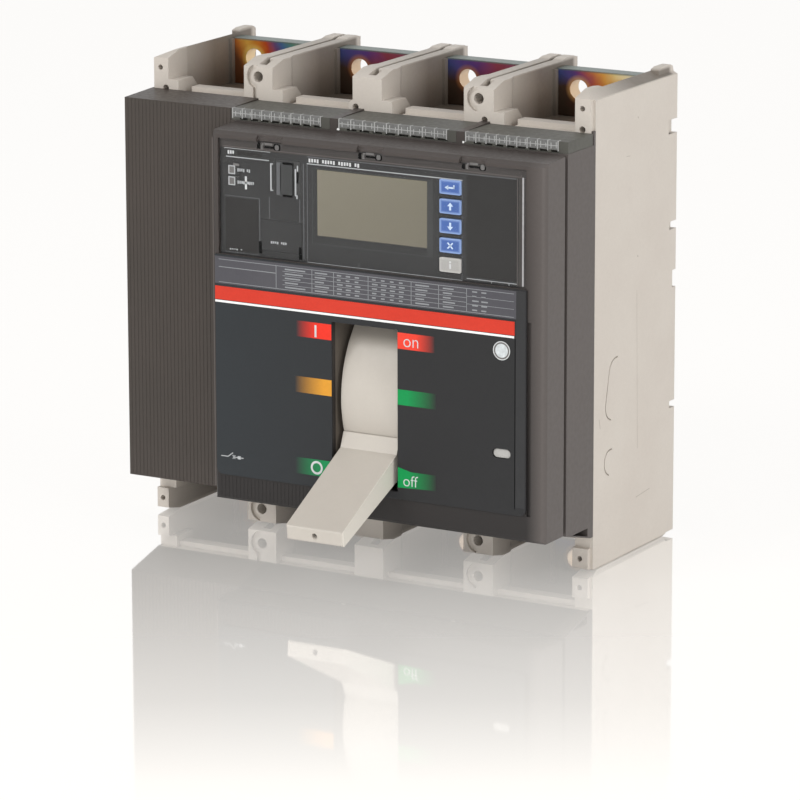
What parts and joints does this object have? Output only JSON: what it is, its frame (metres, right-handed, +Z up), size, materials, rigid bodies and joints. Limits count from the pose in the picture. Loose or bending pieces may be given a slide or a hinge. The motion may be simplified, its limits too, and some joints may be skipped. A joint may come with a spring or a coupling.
{
  "type": "molded case circuit breaker",
  "caption": "Lever-operated moulded case circuit breaker with open terminal bays, dark stepped covers, a trip unit with keys and display under a hinged clear cover, contacts inside",
  "frame": {"origin": "centre of the flat back that lies on the mounting panel", "axes": "+X to the right seen from the front, +Y to the rear, +Z up; the lever points down, off"},
  "size_m": [0.28, 0.2085, 0.268],
  "materials": {
    "beige_resin": "moulded thermoset, fine matt texture",
    "dark_resin": "moulded, fine texture, satin",
    "plate_grey": "printed plate, satin",
    "red_inlay": "smooth red inlay",
    "label_grey": "printed label, satin",
    "white_print": "white mark",
    "zinc_steel": "zinc plated",
    "fascia_grey": "printed panel, satin",
    "black_resin": "moulded, matt",
    "circuit_board": "green board",
    "display_glass": "display window, smooth",
    "lens_red": "light guide",
    "silver": "silver alloy",
    "copper": "bare copper",
    "grey_resin": "moulded, matt",
    "clear_polycarbonate": "clear, smooth",
    "tinned_copper": "thinly plated copper with heat tints",
    "chute_steel": "plain steel plates in fibre boards",
    "terminal_grey": "moulded terminal blocks",
    "blue_rubber": "blue key pads"
  },
  "bodies": {
    "housing": {"accent_stripe": "red_inlay", "arc_chute_1": "chute_steel", "arc_chute_2": "chute_steel", "arc_chute_3": "chute_steel", "arc_chute_4": "chute_steel", "aux_terminals_1": "terminal_grey", "aux_terminals_2": "terminal_grey", "aux_terminals_3": "terminal_grey", "base": "beige_resin", "cover_screws": "zinc_steel", "current_sensor_1": "black_resin", "current_sensor_2": "black_resin", "current_sensor_3": "black_resin", "current_sensor_4": "black_resin", "display": "display_glass", "fixed_contacts": "silver", "flexible_links": "copper", "front_cover": "dark_resin", "front_plate": "plate_grey", "lever_pin": "zinc_steel", "line_terminal_1": "tinned_copper", "line_terminal_2": "tinned_copper", "line_terminal_3": "tinned_copper", "line_terminal_4": "tinned_copper", "load_terminal_1": "tinned_copper", "load_terminal_2": "tinned_copper", "load_terminal_3": "tinned_copper", "load_terminal_4": "tinned_copper", "mechanism_frame": "zinc_steel", "mid_cover": "dark_resin", "rating_label": "label_grey", "rating_plug": "black_resin", "release_coil": "black_resin", "round_mark": "white_print", "shaft_bearings": "black_resin", "status_lenses": "lens_red", "test_connector": "black_resin", "unit_board": "circuit_board", "unit_fascia": "fascia_grey", "unit_housing": "black_resin"},
    "lever": {"lever": "beige_resin", "lever_yoke": "zinc_steel"},
    "contacts": {"contact_shaft": "black_resin", "contact_arm_1": "copper", "contact_arm_2": "copper", "contact_arm_3": "copper", "contact_arm_4": "copper"},
    "trip_shaft": {"trip_shaft": "black_resin"},
    "trip_button": {"trip_button": "grey_resin"},
    "clear_cover": {"clear_cover": "clear_polycarbonate"},
    "key_enter": {"key_enter": "blue_rubber"},
    "key_up": {"key_up": "blue_rubber"},
    "key_down": {"key_down": "blue_rubber"},
    "key_escape": {"key_escape": "blue_rubber"},
    "key_info": {"key_info": "grey_resin"}
  },
  "joints": [
    {"name": "lever_hinge", "type": "hinge", "parent": "housing", "child": "lever", "pos_m": [0.0291, -0.09148, -0.04001], "axis": [-1, 0, 0], "range_deg": [0, 57]},
    {"name": "contact_hinge", "type": "hinge", "parent": "housing", "child": "contacts", "pos_m": [0, -0.04, -0.005], "axis": [-1, 0, 0], "range_deg": [0, 30]},
    {"name": "trip_button_slide", "type": "slide", "parent": "housing", "child": "trip_button", "axis": [0, 1, 0], "range_m": [0, 0.002], "stiffness_N_per_m": 600, "springref_m": -0.001},
    {"name": "trip_shaft_hinge", "type": "hinge", "parent": "housing", "child": "trip_shaft", "pos_m": [0.093, -0.08398, -0.03001], "axis": [1, 0, 0], "range_deg": [0, 4.5]},
    {"name": "clear_cover_hinge", "type": "hinge", "parent": "housing", "child": "clear_cover", "pos_m": [0.032, -0.1523, 0.10084], "axis": [-1, 0, 0], "range_deg": [0, 100]},
    {"name": "key_enter_slide", "type": "slide", "parent": "housing", "child": "key_enter", "axis": [0, 1, 0], "range_m": [0, 0.0008], "stiffness_N_per_m": 800, "springref_m": -0.0005},
    {"name": "key_up_slide", "type": "slide", "parent": "housing", "child": "key_up", "axis": [0, 1, 0], "range_m": [0, 0.0008], "stiffness_N_per_m": 800, "springref_m": -0.0005},
    {"name": "key_down_slide", "type": "slide", "parent": "housing", "child": "key_down", "axis": [0, 1, 0], "range_m": [0, 0.0008], "stiffness_N_per_m": 800, "springref_m": -0.0005},
    {"name": "key_escape_slide", "type": "slide", "parent": "housing", "child": "key_escape", "axis": [0, 1, 0], "range_m": [0, 0.0008], "stiffness_N_per_m": 800, "springref_m": -0.0005},
    {"name": "key_info_slide", "type": "slide", "parent": "housing", "child": "key_info", "axis": [0, 1, 0], "range_m": [0, 0.0008], "stiffness_N_per_m": 800, "springref_m": -0.0005}
  ],
  "couplings": [
    {"joint": "contact_hinge", "follows": "lever_hinge", "ratio": 0.52631},
    {"joint": "trip_shaft_hinge", "follows": "trip_button_slide", "rad_per_m": 36.8}
  ]
}
